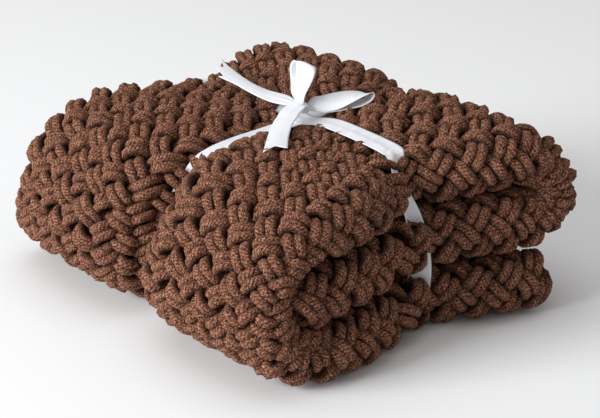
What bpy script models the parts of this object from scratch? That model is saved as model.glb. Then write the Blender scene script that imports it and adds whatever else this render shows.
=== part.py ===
"""Hand knit blanket, folded into a bundle and tied crosswise with a satin ribbon.

Metres, +Z up. The origin is on the surface that the bundle rests on, under the middle of its box.
The knitted ply is folded in half, which makes a rounded nose along the near side, and the doubled
strip is then folded in three: it starts at the right, wraps round the left end, comes back over
the top, turns tightly at the right and ends inside the left fold.
"""

import bmesh
import bpy
from math import acos, atan2, cos, pi, radians, sin, sqrt, tanh
from mathutils import Vector

# The folded bundle before it is tied: x along the strip, y across it.
BUNDLE_X = 0.390
BUNDLE_Y = 0.447
BUNDLE_Z = 0.172
LAYER_GAP = 0.0015
PLY_SLIT = 0.0012
LAYER = (BUNDLE_Z - 2 * LAYER_GAP) / 3
HALF_LAYER = LAYER / 2
SHORT_END = 0.034
LOW_EDGE = 0.013

# The middle of the tied bundle's box, measured from the middle of the squarely folded one.
BOX_MIDDLE_X = -0.0008
BOX_MIDDLE_Y = -0.0019

# The ribbon, and where its two bands cross on the top.
RIBBON_WIDTH = 0.022
RIBBON_THICK = 0.0008
TIE_X = 0.216
TIE_Y = 0.214

# How the ends and sides of the bundle droop, rise, lean in and wave.
END_DROOP = 0.23
SIDE_DROOP = 0.035
RIGHT_RISE = 0.13
NEAR_RISE = 0.004
SIDE_LEAN = 0.022
EDGE_WAVE = 0.0025

# The hollows that the two ribbon bands press into the bundle, as one row each: the side pinches
# are at the low end of the band's axis and at its high end.
HOLLOW_COLUMNS = ("axis", "place", "half_width", "top_depth", "edge_depth", "low_pinch", "high_pinch")
HOLLOWS = (
    dict(zip(HOLLOW_COLUMNS, ("x", TIE_Y, 0.030, 0.044, -0.020, 0.055, 0.026))),
    dict(zip(HOLLOW_COLUMNS, ("y", TIE_X, 0.060, 0.040, 0.010, 0.043, 0.046))),
)
UNDERSIDE_LIFT = 0.0050
UNDERSIDE_HALF_WIDTH = 0.030

# The four lobes between the bands: which corner, how far it is rounded, how far it rises.
LOBE_COLUMNS = ("name", "x_side", "y_side", "rounding", "rise")
LOBES = (
    dict(zip(LOBE_COLUMNS, ("front", -1, -1, 0.095, -0.010))),
    dict(zip(LOBE_COLUMNS, ("left", -1, 1, 0.155, 0.028))),
    dict(zip(LOBE_COLUMNS, ("right", 1, -1, 0.000, -0.010))),
    dict(zip(LOBE_COLUMNS, ("back", 1, 1, 0.175, -0.030))),
)


def lobe_mix(side, value):
    """1 well on the lobe's own side of the middle, 0 on the other, with a smooth change."""
    return 0.5 + 0.5 * tanh(2.2 * side * value)


def settle(x, y, z):
    """Where a point of the squarely folded bundle lies once it is tied and has sagged."""
    end = (x - BUNDLE_X / 2) / (BUNDLE_X / 2)
    side = (y - BUNDLE_Y / 2) / (BUNDLE_Y / 2)
    level = min(max(z / BUNDLE_Z, 0), 1)
    along_x, along_y = HOLLOWS
    press_x = 2.718281828 ** -(((y - along_x["place"]) / along_x["half_width"]) ** 2)
    press_y = 2.718281828 ** -(((x - along_y["place"]) / along_y["half_width"]) ** 2)

    rounding = 0
    rise = 0
    for lobe in LOBES:
        share = lobe_mix(lobe["x_side"], end) * lobe_mix(lobe["y_side"], side)
        rounding += share * lobe["rounding"]
        rise += share * lobe["rise"]
    cut = rounding * end ** 4 * side ** 4
    new_x = BUNDLE_X / 2 * (1 + end * (1 - cut * (0.7 + 1.0 * level ** 2)))
    new_y = BUNDLE_Y / 2 * (1 + side * (1 - cut * (0.8 - 0.4 * level ** 2)))

    pinch_x = along_x["low_pinch"] if end < 0 else along_x["high_pinch"]
    pinch_y = along_y["low_pinch"] if side < 0 else along_y["high_pinch"]
    new_x -= pinch_x * press_x * end * abs(end) * (0.6 + 0.8 * level)
    new_y -= pinch_y * press_y * side * abs(side)
    new_y -= SIDE_LEAN * level ** 2 * side * side * side
    new_y += EDGE_WAVE * side ** 4 * sin(2 * pi * (x / 0.21 + 1.3 * level))
    new_x += EDGE_WAVE * end ** 4 * sin(2 * pi * (y / 0.23 + 0.6 * level))

    depth_x = along_x["top_depth"] + along_x["edge_depth"] * end ** 2
    depth_y = along_y["top_depth"] + along_y["edge_depth"] * side ** 2
    pressed = press_x * depth_x + press_y * depth_y
    lost = pressed + END_DROOP * end ** 4 + SIDE_DROOP * side ** 4
    height = (1 - lost * (0.4 + 0.6 * level)) * (1 + RIGHT_RISE * end - NEAR_RISE * side)
    crown = 2.718281828 ** -(((abs(end) - 0.55) / 0.4) ** 2 + ((abs(side) - 0.55) / 0.4) ** 2)
    height += rise * crown

    off_x = min(abs(y - along_x["place"]) / UNDERSIDE_HALF_WIDTH, 1)
    off_y = min(abs(x - along_y["place"]) / UNDERSIDE_HALF_WIDTH, 1)
    lift = UNDERSIDE_LIFT * (1 - (1 - (1 - off_x ** 4) ** 2) * (1 - (1 - off_y ** 4) ** 2))
    new_z = z * height + lift * (1 - level) ** 2
    return Vector((new_x - BUNDLE_X / 2 - BOX_MIDDLE_X, new_y - BUNDLE_Y / 2 - BOX_MIDDLE_Y, new_z))


def spaced(start, end, steps, keep=()):
    """Even values from start to end, with the values to keep added in order."""
    values = [start + (end - start) * step / steps for step in range(steps + 1)]
    low, high = min(start, end), max(start, end)
    extra = [value for value in keep if low + 0.006 < value < high - 0.006]
    near = [value for value in values[1:-1] if all(abs(value - other) > 0.006 for other in extra)]
    return sorted([start, end] + near + extra, reverse=start > end)


def ribbon_lines(place):
    """The values at a ribbon's middle, its edges and just past the hollow's steep part."""
    return [place + offset for offset in (-0.028, -0.011, 0, 0.011, 0.028)]


def strip_path():
    """The doubled strip's middle line as (x, z, outward x, outward z), from its outer end."""
    left_turn = (BUNDLE_Z - LAYER) / 2
    left_x = BUNDLE_Z / 2
    right_turn = (LAYER + LAYER_GAP) / 2
    right_x = BUNDLE_X - right_turn - HALF_LAYER
    right_z = BUNDLE_Z / 2 + right_turn
    lines = ribbon_lines(TIE_X)
    run = spaced(right_x, left_x, 8, lines)
    end_x = BUNDLE_X - SHORT_END
    path = [(x, HALF_LAYER, 0, -1) for x in (end_x, end_x - 0.003, end_x - 0.010)]
    path += [(x, HALF_LAYER, 0, -1) for x in spaced(end_x - 0.010, left_x, 10, lines)[1:]]
    for step in range(1, 15):
        turn = -pi / 2 - pi * step / 14
        path.append((left_x + left_turn * cos(turn), BUNDLE_Z / 2 + left_turn * sin(turn), cos(turn), sin(turn)))
    path += [(x, BUNDLE_Z - HALF_LAYER, 0, 1) for x in reversed(run[:-1])]
    for step in range(1, 11):
        turn = pi / 2 - pi * step / 10
        path.append((right_x + right_turn * cos(turn), right_z + right_turn * sin(turn), cos(turn), sin(turn)))
    path += [(x, BUNDLE_Z / 2, 0, -1) for x in run[1:]]
    path += [(left_x - HALF_LAYER * part, BUNDLE_Z / 2, 0, -1) for part in (0.45, 0.65, 0.78)]
    return path


def end_rounding(path, ply):
    """How much of the ply's thickness each station of the path keeps: the strip's ends are round."""
    walked = [0]
    for before, after in zip(path, path[1:]):
        walked.append(walked[-1] + sqrt((after[0] - before[0]) ** 2 + (after[1] - before[1]) ** 2))
    kept = []
    for distance in walked:
        reach = min(distance, walked[-1] - distance, ply / 2)
        kept.append(0.35 + 0.65 * sqrt(1 - (1 - reach / (ply / 2)) ** 2))
    return kept


def hairpin(thick):
    """Outline of the doubled strip across its width, as (y, distance out from its middle line)."""
    ply_middle = (HALF_LAYER + PLY_SLIT / 2) / 2
    half_ply = (HALF_LAYER - PLY_SLIT / 2) / 2 * thick
    outer, inner = ply_middle + half_ply, ply_middle - half_ply
    rows = spaced(BUNDLE_Y - half_ply, HALF_LAYER, 9, ribbon_lines(TIE_Y))
    outline = [(y, outer) for y in rows]
    for step in range(1, 9):
        turn = pi / 2 + pi * step / 8
        outline.append((HALF_LAYER + outer * cos(turn), outer * sin(turn)))
    outline += [(y, -outer) for y in reversed(rows[:-1])]
    outline += open_edge(-ply_middle, -half_ply)
    outline += [(y, -inner) for y in rows]
    outline += [(HALF_LAYER - inner, 0)]
    outline += [(y, inner) for y in reversed(rows)]
    outline += open_edge(ply_middle, -half_ply)
    return outline


def open_edge(middle, reach):
    """The round free edge of one ply, between its two faces."""
    half_ply = abs(reach)
    edge = []
    for step in range(1, 4):
        turn = pi * step / 4
        edge.append((BUNDLE_Y - half_ply + half_ply * sin(turn), middle + reach * cos(turn)))
    return edge


def closed_mesh(name, rings, loop=False):
    """An object through rings of points, each joined to the next, with flat ends or as a ring."""
    shape = bmesh.new()
    rows = [[shape.verts.new(point) for point in ring] for ring in rings]
    pairs = list(zip(rows, rows[1:]))
    if loop:
        pairs.append((rows[-1], rows[0]))
    for row, following in pairs:
        for index in range(len(row)):
            beside = (index + 1) % len(row)
            shape.faces.new((row[index], row[beside], following[beside], following[index]))
    if not loop:
        shape.faces.new(rows[0])
        shape.faces.new(rows[-1])
    bmesh.ops.recalc_face_normals(shape, faces=shape.faces)
    bmesh.ops.triangulate(shape, faces=shape.faces)
    mesh = bpy.data.meshes.new(name)
    shape.to_mesh(mesh)
    shape.free()
    mesh.shade_smooth()
    mesh.set_sharp_from_angle(angle=0.9)
    piece = bpy.data.objects.new(name, mesh)
    bpy.context.collection.objects.link(piece)
    return piece


def finish(piece, title, colour, roughness):
    """Give a piece its own material."""
    material = bpy.data.materials.new(title)
    material.use_nodes = True
    shader = material.node_tree.nodes["Principled BSDF"]
    shader.inputs["Base Color"].default_value = (*colour, 1)
    shader.inputs["Roughness"].default_value = roughness
    shader.inputs["Metallic"].default_value = 0
    piece.data.materials.append(material)


def blanket():
    """The knitted cloth, folded in half and then in three: one solid with its layers apart."""
    path = strip_path()
    ply = HALF_LAYER - PLY_SLIT / 2
    rings = []
    for (x, z, out_x, out_z), thick in zip(path, end_rounding(path, ply)):
        rings.append([settle(x + out_x * out, y, z + out_z * out) for y, out in hairpin(thick)])
    finish(closed_mesh("blanket", rings), "brown_chenille", (0.115, 0.045, 0.026), 0.95)


# The ribbon bands: name, axis, distance out from the cloth.
BAND_COLUMNS = ("name", "axis", "clear")
BANDS = (
    dict(zip(BAND_COLUMNS, ("ribbon_band_x", "x", 0.0014))),
    dict(zip(BAND_COLUMNS, ("ribbon_band_y", "y", 0.0028))),
)


def arc(centre, radius, start, sweep, steps):
    """Points of an arc after its first one; a negative sweep turns clockwise."""
    points = []
    for step in range(1, steps + 1):
        turn = start + sweep * step / steps
        points.append((centre[0] + radius * cos(turn), centre[1] + radius * sin(turn)))
    return points


def band_outline_x(out):
    """The bundle's outline in x and z, clockwise, at a distance out from it."""
    lines = ribbon_lines(TIE_X)
    left = (BUNDLE_Z / 2, BUNDLE_Z / 2)
    right = (BUNDLE_X - LAYER - LAYER_GAP / 2, BUNDLE_Z - LAYER - LAYER_GAP / 2)
    heel = (BUNDLE_X - SHORT_END - LOW_EDGE, LOW_EDGE)
    outline = [(x, BUNDLE_Z + out) for x in spaced(left[0], right[0], 8, lines)]
    bend = LAYER + LAYER_GAP / 2
    slope = atan2(heel[1] - right[1], heel[0] - right[0])
    reach = sqrt((heel[0] - right[0]) ** 2 + (heel[1] - right[1]) ** 2)
    leave = slope + acos((bend - LOW_EDGE) / reach)
    outline += arc(right, bend + out, pi / 2, leave - pi / 2, 10)
    turned = arc(heel, LOW_EDGE + out, leave, -pi / 2 - leave, 4)
    heel_start = (heel[0] + (LOW_EDGE + out) * cos(leave), heel[1] + (LOW_EDGE + out) * sin(leave))
    from_x, from_z = outline[-1]
    for step in range(1, 8):
        part = step / 7
        outline.append((from_x + (heel_start[0] - from_x) * part, from_z + (heel_start[1] - from_z) * part))
    outline += turned
    outline += [(x, -out) for x in spaced(heel[0], left[0], 9, lines)[1:]]
    outline += arc(left, BUNDLE_Z / 2 + out, -pi / 2, -pi, 14)[:-1]
    return outline


def band_outline_y(out):
    """The bundle's outline in y and z, clockwise, at a distance out from it."""
    lines = ribbon_lines(TIE_Y)
    far = BUNDLE_Y - LOW_EDGE
    outline = [(y, BUNDLE_Z + out) for y in spaced(HALF_LAYER, far, 9, lines)]
    outline += arc((far, BUNDLE_Z - LOW_EDGE), LOW_EDGE + out, pi / 2, -pi / 2, 4)
    outline += [(BUNDLE_Y + out, z) for z in spaced(BUNDLE_Z - LOW_EDGE, LOW_EDGE, 9)[1:]]
    outline += arc((far, LOW_EDGE), LOW_EDGE + out, 0, -pi / 2, 4)
    outline += [(y, -out) for y in spaced(far, HALF_LAYER, 9, lines)[1:]]
    outline += arc((HALF_LAYER, HALF_LAYER), HALF_LAYER + out, -pi / 2, -pi / 2, 8)
    outline += [(-out, z) for z in spaced(HALF_LAYER, BUNDLE_Z - HALF_LAYER, 8)[1:]]
    outline += arc((HALF_LAYER, BUNDLE_Z - HALF_LAYER), HALF_LAYER + out, pi, -pi / 2, 8)[:-1]
    return outline


def ribbon_band(row):
    """One ribbon band round the bundle, lying in the hollow that it presses."""
    along_x = row["axis"] == "x"
    outline = band_outline_x if along_x else band_outline_y
    place = TIE_Y if along_x else TIE_X
    inner = outline(row["clear"])
    outer = outline(row["clear"] + RIBBON_THICK)
    rings = []
    for near, far in zip(inner, outer):
        ring = []
        for face, order in ((near, (-1, 0, 1)), (far, (1, 0, -1))):
            for across in order:
                sideways = place + across * RIBBON_WIDTH / 2
                point = (face[0], sideways, face[1]) if along_x else (sideways, face[0], face[1])
                ring.append(settle(*point))
        rings.append(ring)
    finish(closed_mesh(row["name"], rings, loop=True), row["name"] + "_satin", (0.83, 0.85, 0.88), 0.35)


# The bow. The knot sits on the crossing; loops and tails start just clear of it.
KNOT_HALF = (0.0075, 0.0085, 0.0055)
KNOT_CLEAR = 0.0003
TAIL_CLEAR = 0.0040
TAIL_NOTCH = 0.014

# Loops: where each points in plan and how steeply it rises (degrees), where it starts and how far it
# reaches from the knot's middle, its fatness, the way that its ribbon's width faces in plan, how that
# width tips up, and its share of the width at the knot.
LOOP_COLUMNS = ("name", "points", "rises", "starts", "length", "fat", "faces", "tips", "gathered")
LOOPS = (
    dict(zip(LOOP_COLUMNS, ("ribbon_loop_up", 140, 88, 0.0051, 0.046, 0.0085, -50, -14, 0.45))),
    dict(zip(LOOP_COLUMNS, ("ribbon_loop_right", -42, 15, 0.0073, 0.066, 0.0060, 48, 13, 0.45))),
)

# Tails: their end in the folded bundle's own x and y, how far the middle bows to the left, and how
# high the start and the tip stand over the cloth.
TAIL_COLUMNS = ("name", "end_x", "end_y", "bow", "start_height", "tip_height")
TAILS = (
    dict(zip(TAIL_COLUMNS, ("ribbon_tail_back", TIE_X - 0.001, TIE_Y + 0.144, 0.002, 0.0085, 0.0090))),
    dict(zip(TAIL_COLUMNS, ("ribbon_tail_front", TIE_X - 0.088, TIE_Y - 0.078, -0.012, 0.0085, 0.0045))),
)


def knot_middle():
    """The middle of the knot, on top of the two crossing bands."""
    seat = BANDS[1]["clear"] + RIBBON_THICK + KNOT_CLEAR
    return settle(TIE_X, TIE_Y, BUNDLE_Z + seat) + Vector((0, 0, KNOT_HALF[2] + 0.0004))


def knot():
    """The small tight knot, a rounded lump drawn in round its waist."""
    middle = knot_middle()
    rings = []
    for level in range(1, 8):
        rise = -cos(pi * level / 8)
        reach = sqrt(1 - rise ** 2) ** 0.7
        ring = []
        for step in range(14):
            turn = 2 * pi * step / 14
            waist = 1 - 0.12 * cos(2 * turn) ** 2
            ring.append(middle + Vector((
                KNOT_HALF[0] * reach * waist * cos(turn),
                KNOT_HALF[1] * reach * waist * sin(turn),
                KNOT_HALF[2] * rise,
            )))
        rings.append(ring)
    finish(closed_mesh("ribbon_knot", rings), "ribbon_knot_satin", (0.83, 0.85, 0.88), 0.35)


def direction(plan, rise):
    """The unit vector that points plan degrees from +X towards +Y and rises by so many degrees."""
    plan, rise = radians(plan), radians(rise)
    return Vector((cos(plan) * cos(rise), sin(plan) * cos(rise), sin(rise)))


def strip_ring(point, across, normal):
    """A ribbon's cross-section at a point of its middle line, bowed a little over its width."""
    half = RIBBON_THICK / 2
    places = (-1, -0.5, 0, 0.5, 1)
    top = [point + across * place + normal * half for place in places]
    under = [point + across * place - normal * half for place in reversed(places)]
    return top + under


def ribbon_loop(row):
    """One bow loop: the ribbon goes out from the knot, turns over and comes back under itself."""
    along = direction(row["points"], row["rises"])
    across = direction(row["faces"], row["tips"])
    across = (across - along * across.dot(along)).normalized()
    fat = along.cross(across).normalized()
    start = knot_middle()
    steps = 26
    rings = []
    for step in range(steps + 1):
        turn = 0.30 + (2 * pi - 0.60) * step / steps
        out = row["starts"] + (row["length"] - row["starts"]) * (1 - cos(turn)) / 2
        side = row["fat"] * sin(turn) * sin(turn / 2) ** 0.5
        step_out = (row["length"] - row["starts"]) * sin(turn) / 2
        step_side = row["fat"] * cos(turn)
        tangent = (along * step_out + fat * step_side).normalized()
        width = row["gathered"] + (1 - row["gathered"]) * sin(turn / 2) ** 0.8
        point = start + along * out + fat * side
        rings.append(strip_ring(point, across * RIBBON_WIDTH / 2 * width, tangent.cross(across)))
    finish(closed_mesh(row["name"], rings), row["name"] + "_satin", (0.83, 0.85, 0.88), 0.35)


def ribbon_tail(row):
    """One loose end, lying over the cloth, with a notch cut in its tip."""
    reach_x, reach_y = row["end_x"] - TIE_X, row["end_y"] - TIE_Y
    length = sqrt(reach_x ** 2 + reach_y ** 2)
    along = Vector((reach_x, reach_y)) / length
    left = Vector((-along.y, along.x))
    first = KNOT_HALF[0] + KNOT_CLEAR + 0.0002
    steps = 16
    rings = []
    for step in range(steps + 1):
        part = step / steps
        places = [-1, -0.5, 0, 0.5, 1]
        near, far = [], []
        for place in places:
            notch = TAIL_NOTCH * (1 - abs(place)) * part ** 6
            walked = first + (length - first) * part - notch
            bend = row["bow"] * sin(pi * walked / length)
            width = RIBBON_WIDTH / 2 * (0.45 + 0.55 * min(part * 4, 1) ** 0.7)
            x = TIE_X + along.x * walked + left.x * (place * width + bend)
            y = TIE_Y + along.y * walked + left.y * (place * width + bend)
            fall = max(1 - walked / 0.040, 0) ** 2
            height = TAIL_CLEAR + (row["start_height"] - TAIL_CLEAR) * fall
            height += (row["tip_height"] - TAIL_CLEAR) * part ** 2
            near.append(settle(x, y, BUNDLE_Z + height))
            far.append(settle(x, y, BUNDLE_Z + height + RIBBON_THICK))
        rings.append(near + far[::-1])
    finish(closed_mesh(row["name"], rings), row["name"] + "_satin", (0.83, 0.85, 0.88), 0.35)


def remove_everything():
    """Start from an empty scene."""
    for piece in list(bpy.data.objects):
        bpy.data.objects.remove(piece, do_unlink=True)


remove_everything()
blanket()
for band in BANDS:
    ribbon_band(band)
knot()
for loop_row in LOOPS:
    ribbon_loop(loop_row)
for tail_row in TAILS:
    ribbon_tail(tail_row)
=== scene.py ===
"""Hand knit chenille blanket, folded into a soft bundle and tied crosswise with a satin ribbon."""

from math import acos, atan2, cos, pi, radians, sin, sqrt

import bpy
import numpy as np
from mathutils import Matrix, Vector


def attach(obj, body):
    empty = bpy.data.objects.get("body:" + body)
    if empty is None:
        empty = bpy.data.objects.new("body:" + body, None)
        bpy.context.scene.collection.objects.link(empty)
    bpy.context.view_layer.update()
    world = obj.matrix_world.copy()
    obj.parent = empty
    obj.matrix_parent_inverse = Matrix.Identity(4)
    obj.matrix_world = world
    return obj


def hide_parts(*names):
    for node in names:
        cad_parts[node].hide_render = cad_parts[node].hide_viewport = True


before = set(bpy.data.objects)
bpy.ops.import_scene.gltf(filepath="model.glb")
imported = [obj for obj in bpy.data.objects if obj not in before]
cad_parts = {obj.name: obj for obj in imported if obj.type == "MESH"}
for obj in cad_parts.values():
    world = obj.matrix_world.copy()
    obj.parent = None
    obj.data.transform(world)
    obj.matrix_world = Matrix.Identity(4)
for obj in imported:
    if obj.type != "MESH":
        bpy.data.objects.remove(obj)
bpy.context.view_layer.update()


# The folded cloth
# One knitted ply, folded in half along the near side and then in three. The tie pulls the bundle in
# and leaves four lobes. These are the fold's sizes, the same as those of the solid it stands for.

BUNDLE_X = 0.390
BUNDLE_Y = 0.447
BUNDLE_Z = 0.172
LAYER_GAP = 0.0015
PLY_SLIT = 0.0012
LAYER = (BUNDLE_Z - 2 * LAYER_GAP) / 3
HALF_LAYER = LAYER / 2
SHORT_END = 0.034
LOW_EDGE = 0.013
BOX_MIDDLE_X = -0.0008
BOX_MIDDLE_Y = -0.0019
TIE_X = 0.216
TIE_Y = 0.214
END_DROOP = 0.23
SIDE_DROOP = 0.035
RIGHT_RISE = 0.13
NEAR_RISE = 0.004
SIDE_LEAN = 0.022
EDGE_WAVE = 0.0025
EDGE_WAVE_LENGTHS = (0.21, 0.23)
EDGE_WAVE_CLIMBS = (1.3, 0.6)
UNDERSIDE_LIFT = 0.0050
UNDERSIDE_HALF_WIDTH = 0.030
CROWN_PLACE = 0.55
CROWN_HALF_WIDTH = 0.4
LOBE_SHARPNESS = 2.2
FLOOR_GAP = 0.0002

# How strong the corners' rounding in x and in y, the ends' pinch and the sinking are at the underside,
# and how much stronger they are at the top.
ROUNDING_X = (0.7, 1.0)
ROUNDING_Y = (0.8, -0.4)
PINCH = (0.6, 0.8)
SINKING = (0.4, 0.6)

# The hollow that each ribbon band presses into the bundle, wide enough for the lobes beside it.
HOLLOW_COLUMNS = ("axis", "place", "half_width", "top_depth", "edge_depth", "low_pinch", "high_pinch")
HOLLOWS = (
    dict(zip(HOLLOW_COLUMNS, ("x", TIE_Y, 0.030, 0.044, -0.020, 0.055, 0.026))),
    dict(zip(HOLLOW_COLUMNS, ("y", TIE_X, 0.060, 0.040, 0.010, 0.043, 0.046))),
)

# The four lobes that the tie leaves, how far each one's corner is rounded, and how much it stands up.
LOBE_COLUMNS = ("name", "x_side", "y_side", "rounding", "rise")
LOBES = (
    dict(zip(LOBE_COLUMNS, ("front", -1, -1, 0.095, -0.010))),
    dict(zip(LOBE_COLUMNS, ("left", -1, 1, 0.155, 0.028))),
    dict(zip(LOBE_COLUMNS, ("right", 1, -1, 0.000, -0.010))),
    dict(zip(LOBE_COLUMNS, ("back", 1, 1, 0.175, -0.030))),
)


def lobe_mix(side, value):
    """1 well on the lobe's own side of the middle, 0 on the other, with a smooth change."""
    return 0.5 + 0.5 * np.tanh(LOBE_SHARPNESS * side * value)


def placed_in_bundle(x, y, z):
    """Points of the squarely folded bundle as arrays, and how far each lies towards an end and a side,
    from -1 to 1, and how high, from 0 to 1."""
    x, y, z = np.broadcast_arrays(np.asarray(x, float), np.asarray(y, float), np.asarray(z, float))
    end = (x - BUNDLE_X / 2) / (BUNDLE_X / 2)
    side = (y - BUNDLE_Y / 2) / (BUNDLE_Y / 2)
    return x, y, z, end, side, np.clip(z / BUNDLE_Z, 0, 1)


def settle(x, y, z):
    """Where points of the squarely folded bundle lie once it is tied and has sagged."""
    x, y, z, end, side, level = placed_in_bundle(x, y, z)
    along_x, along_y = HOLLOWS
    press_x = np.exp(-(((y - along_x["place"]) / along_x["half_width"]) ** 2))
    press_y = np.exp(-(((x - along_y["place"]) / along_y["half_width"]) ** 2))
    rounding = 0
    rise = 0
    for lobe in LOBES:
        share = lobe_mix(lobe["x_side"], end) * lobe_mix(lobe["y_side"], side)
        rounding = rounding + share * lobe["rounding"]
        rise = rise + share * lobe["rise"]
    cut = rounding * end ** 4 * side ** 4
    new_x = BUNDLE_X / 2 * (1 + end * (1 - cut * (ROUNDING_X[0] + ROUNDING_X[1] * level ** 2)))
    new_y = BUNDLE_Y / 2 * (1 + side * (1 - cut * (ROUNDING_Y[0] + ROUNDING_Y[1] * level ** 2)))
    pinch_x = np.where(end < 0, along_x["low_pinch"], along_x["high_pinch"])
    pinch_y = np.where(side < 0, along_y["low_pinch"], along_y["high_pinch"])
    new_x = new_x - pinch_x * press_x * end * abs(end) * (PINCH[0] + PINCH[1] * level)
    new_y = new_y - pinch_y * press_y * side * abs(side)
    new_y = new_y - SIDE_LEAN * level ** 2 * side ** 3
    side_wave = np.sin(2 * pi * (x / EDGE_WAVE_LENGTHS[0] + EDGE_WAVE_CLIMBS[0] * level))
    end_wave = np.sin(2 * pi * (y / EDGE_WAVE_LENGTHS[1] + EDGE_WAVE_CLIMBS[1] * level))
    new_y = new_y + EDGE_WAVE * side ** 4 * side_wave
    new_x = new_x + EDGE_WAVE * end ** 4 * end_wave
    depth_x = along_x["top_depth"] + along_x["edge_depth"] * end ** 2
    depth_y = along_y["top_depth"] + along_y["edge_depth"] * side ** 2
    pressed = press_x * depth_x + press_y * depth_y
    lost = pressed + END_DROOP * end ** 4 + SIDE_DROOP * side ** 4
    height = 1 - lost * (SINKING[0] + SINKING[1] * level)
    height = height * (1 + RIGHT_RISE * end - NEAR_RISE * side)
    off_end = (abs(end) - CROWN_PLACE) / CROWN_HALF_WIDTH
    off_side = (abs(side) - CROWN_PLACE) / CROWN_HALF_WIDTH
    crown = np.exp(-(off_end ** 2 + off_side ** 2))
    height = height + rise * crown
    off_x = np.minimum(abs(y - along_x["place"]) / UNDERSIDE_HALF_WIDTH, 1)
    off_y = np.minimum(abs(x - along_y["place"]) / UNDERSIDE_HALF_WIDTH, 1)
    lift = UNDERSIDE_LIFT * (1 - (1 - (1 - off_x ** 4) ** 2) * (1 - (1 - off_y ** 4) ** 2))
    new_z = z * height + lift * (1 - level) ** 2
    return np.stack([new_x - BUNDLE_X / 2 - BOX_MIDDLE_X, new_y - BUNDLE_Y / 2 - BOX_MIDDLE_Y, new_z], -1)


# The narrow crease under each ribbon band, deeper than the solid's wide hollow: the half widths of its
# near and far walls, its depth at the top and at the sides, and how far the cloth on its near side
# leans over it. It starts clear of the knot, and the one across the strip leans past the bundle's top.
CREASE_COLUMNS = ("place", "near_wall", "far_wall", "top", "side", "lean")
CREASES = (
    dict(zip(CREASE_COLUMNS, (TIE_Y, 0.008, 0.016, 0.0060, 0.0060, 0.0030))),
    dict(zip(CREASE_COLUMNS, (TIE_X, 0.008, 0.015, 0.0000, 0.0200, 0.0240))),
)
LEAN_REACH = 0.024
LEAN_ON_TOP = 0.2
LEAN_LOW = 1.1
LEAN_LOST_HIGH = 1.6
KNOT_CLEARANCE = 0.040

# Where the top bends down into a side, and where a side bends in to the top, as shares of the bundle.
PAST_TOP = (0.45, 0.80)
SHOULDER = (0.50, 0.95)

# The dent where the ribbon draws in the shoulder of the left turn: its middle, its half widths, and
# how far in and down it goes.
DENT_Y = 0.205
DENT_HALF_X, DENT_HALF_Y = 0.055, 0.045
DENT_IN, DENT_DOWN = 0.0119, 0.0070


def smooth_step(low, high, value):
    """0 below low and 1 above high, with a smooth change."""
    part = np.clip((value - low) / (high - low), 0, 1)
    return part * part * (3 - 2 * part)


def leaning(away):
    """The share of a crease's lean at a distance in front of its middle."""
    share = (np.maximum(away, 0) / LEAN_REACH) ** 2
    return share * np.exp(1 - share)


def tied(x, y, z, lean=1):
    """settle, with the narrow creases that the ribbon cuts and the front lobe leans over. lean is 0
    for the ribbon itself, which stays down in the crease."""
    x, y, z, end, side, level = placed_in_bundle(x, y, z)
    along_x, along_y = CREASES
    from_knot = 1 - np.exp(-(((x - TIE_X) / KNOT_CLEARANCE) ** 2))
    past_top = smooth_step(*PAST_TOP, abs(side))
    off_x = along_x["place"] - y
    off_y = along_y["place"] - x
    wall_x = np.where(off_x > 0, along_x["near_wall"], along_x["far_wall"])
    wall_y = np.where(off_y > 0, along_y["near_wall"], along_y["far_wall"])
    press_x = from_knot * np.exp(-((off_x / wall_x) ** 2))
    press_y = np.exp(-((off_y / wall_y) ** 2))
    sunk = press_x * along_x["top"] + press_y * along_y["top"]
    new_x = x - press_x * along_x["side"] * end * abs(end) ** 3
    new_y = y - press_y * past_top * along_y["side"] * side * abs(side) ** 3
    points = settle(new_x, new_y, z - sunk * level)
    shoulder = smooth_step(*SHOULDER, level)
    dent = np.exp(-(((y - DENT_Y) / DENT_HALF_Y) ** 2) - ((x / DENT_HALF_X) ** 2)) * shoulder
    points[..., 0] += DENT_IN * dent
    points[..., 2] -= DENT_DOWN * dent
    swing = (LEAN_ON_TOP + (1 - LEAN_ON_TOP) * past_top) * (LEAN_LOW - LEAN_LOST_HIGH * shoulder)
    points[..., 0] += lean * along_y["lean"] * leaning(off_y) * swing * (side < 0)
    points[..., 1] += lean * along_x["lean"] * leaning(off_x) * from_knot * (end < 0)
    return points


# Each layer of the strip is two plies of cloth. These are the upper ply's middle and half thickness,
# where the strip ends and turns, the radii of its turns and of the nose, and the lengths of them all.
PLY_MIDDLE = (HALF_LAYER + PLY_SLIT / 2) / 2
HALF_PLY = (HALF_LAYER - PLY_SLIT / 2) / 2
END_X = BUNDLE_X - SHORT_END
LEFT_X = BUNDLE_Z / 2
LEFT_TURN = (BUNDLE_Z - LAYER) / 2
RIGHT_TURN = (LAYER + LAYER_GAP) / 2
RIGHT_X = BUNDLE_X - RIGHT_TURN - HALF_LAYER
NOSE_RADIUS = 0.021
NOSE_LENGTH = pi * NOSE_RADIUS
BOTTOM_LENGTH = END_X - LEFT_X
LEFT_LENGTH = pi * (LEFT_TURN + PLY_MIDDLE)
TOP_LENGTH = RIGHT_X - LEFT_X
RIGHT_LENGTH = pi * (RIGHT_TURN + PLY_MIDDLE)

# The knit's repeat: how far apart its like stitches lie across and along the cloth, where one of
# them lies, and the edges of the cloth in half repeats from there.
REPEAT_ACROSS = 0.04045
REPEAT_ALONG = 0.0276
STITCH_Y = 0.0523
STITCH_ALONG = 0.4673
FAR_EDGE, NEAR_EDGE = 9.5, -12.5
START_EDGE, LAST_EDGE = -16.5, 25.0
FAR_ACROSS = STITCH_Y + FAR_EDGE * REPEAT_ACROSS
NEAR_ACROSS = STITCH_Y + NEAR_EDGE * REPEAT_ACROSS


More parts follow.
